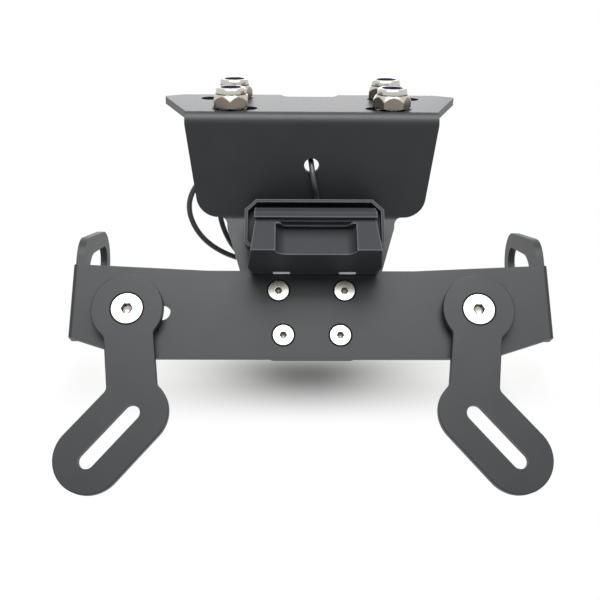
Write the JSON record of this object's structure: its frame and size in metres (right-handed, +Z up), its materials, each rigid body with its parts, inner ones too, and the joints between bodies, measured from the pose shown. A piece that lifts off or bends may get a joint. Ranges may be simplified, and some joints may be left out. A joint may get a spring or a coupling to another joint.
{
  "type": "tail tidy",
  "caption": "Folded sheet-metal bracket that bolts under a motorbike's tail and carries a number plate on adjustable arms, a plate lamp and indicator loops.",
  "frame": {"origin": "centre of the flange's four-bolt pattern on the flange's top face, which goes against the tail", "axes": "+X to the right as seen from behind the bike, +Y forward, +Z up"},
  "size_m": [0.1846, 0.1218, 0.13],
  "materials": {
    "black_powder_coat": "fine matt black powder coat on steel sheet",
    "black_anodised": "machined and black anodised",
    "stainless": "bright stainless steel",
    "blue_nylon": "dark blue nylon",
    "window": "clear plastic",
    "board": "circuit board",
    "led": "clear resin",
    "lead": "black PVC",
    "terminal": "tinned brass"
  },
  "bodies": {
    "bracket": {"main_bracket": "black_powder_coat", "plate_bracket": "black_powder_coat", "lamp_housing": "black_anodised", "lamp_cover": "black_anodised", "lamp_windows": "window", "lamp_board": "board", "lamp_leds": "led", "lead_gland": "lead", "lamp_lead": "lead", "lead_sleeve": "lead", "lead_bullets": "terminal", "centre_screws": "stainless", "centre_washers": "stainless", "centre_nuts": "stainless", "flange_bolts": "stainless", "flange_nuts": "stainless", "lamp_screws": "stainless", "lamp_washers": "stainless", "centre_nut_inserts": "blue_nylon", "flange_nut_inserts": "blue_nylon"},
    "left_carriage": {"left_arm_screw": "stainless", "left_arm_spacer": "black_powder_coat", "left_arm_washer": "stainless", "left_arm_nut": "stainless", "left_arm_nut_insert": "blue_nylon"},
    "left_arm_body": {"left_arm": "black_powder_coat"},
    "right_carriage": {"right_arm_screw": "stainless", "right_arm_spacer": "black_powder_coat", "right_arm_washer": "stainless", "right_arm_nut": "stainless", "right_arm_nut_insert": "blue_nylon"},
    "right_arm_body": {"right_arm": "black_powder_coat"}
  },
  "joints": [
    {"name": "left_arm_slide", "type": "slide", "parent": "bracket", "child": "left_carriage", "axis": [1, 0, 0], "range_m": [-0.0033, 0.0125]},
    {"name": "left_arm_turn", "type": "hinge", "parent": "left_carriage", "child": "left_arm_body", "pos_m": [-0.0695, -0.05527, -0.06727], "axis": [0, -0.766, 0.6428], "range_deg": [-66.7, 53.3]},
    {"name": "right_arm_slide", "type": "slide", "parent": "bracket", "child": "right_carriage", "axis": [1, 0, 0], "range_m": [-0.006, 0.0098]},
    {"name": "right_arm_turn", "type": "hinge", "parent": "right_carriage", "child": "right_arm_body", "pos_m": [0.063, -0.05527, -0.06727], "axis": [0, -0.766, 0.6428], "range_deg": [-53.3, 66.7]}
  ]
}
